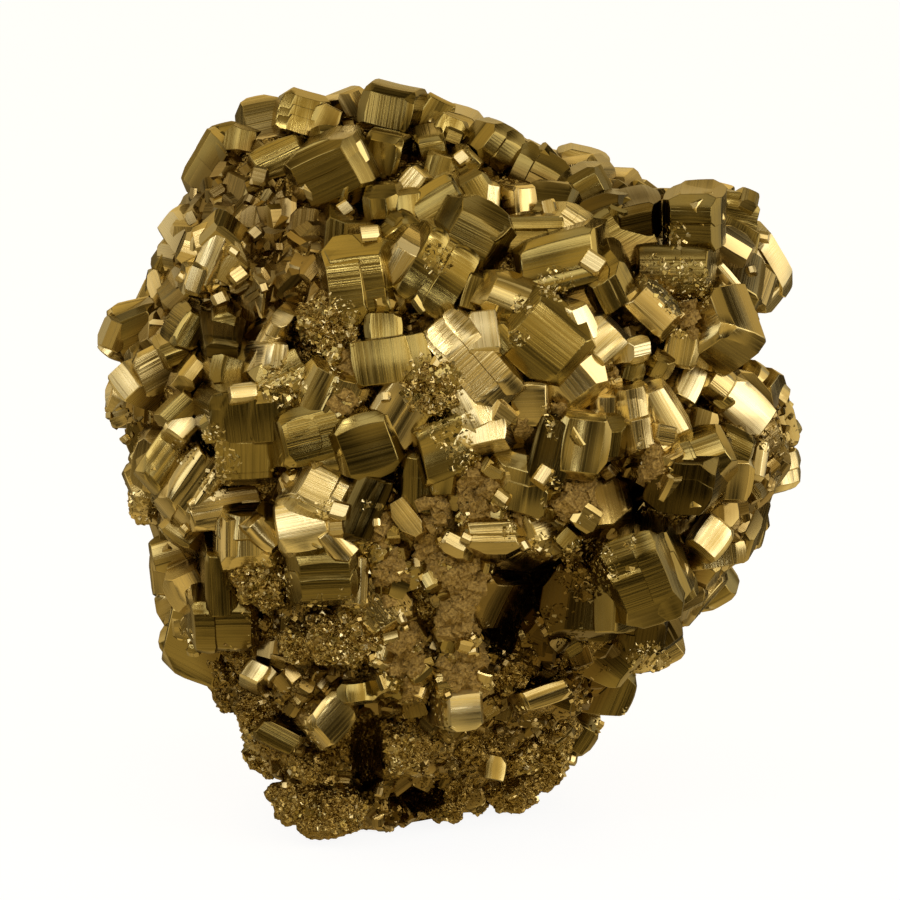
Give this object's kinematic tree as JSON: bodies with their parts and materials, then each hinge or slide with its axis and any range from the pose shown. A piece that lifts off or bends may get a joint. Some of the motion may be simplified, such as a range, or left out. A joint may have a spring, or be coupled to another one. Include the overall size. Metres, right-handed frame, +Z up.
{
  "type": "pyrite specimen",
  "caption": "Massive pyrite specimen: a mass of intergrown, striated brassy crystals that stands on a small flat spot.",
  "frame": {"origin": "middle of the small flat spot that the specimen stands on", "axes": "+Z up, +X to the right as the picture shows it, +Y away from the viewer"},
  "size_m": [0.0986, 0.0727, 0.1044],
  "materials": {
    "pyrite": "brassy metallic lustre, finely striated crystal faces, glittering granular patches and a little pale powdery coating"
  },
  "bodies": {
    "root": {"pyrite_specimen": "pyrite"}
  },
  "joints": []
}
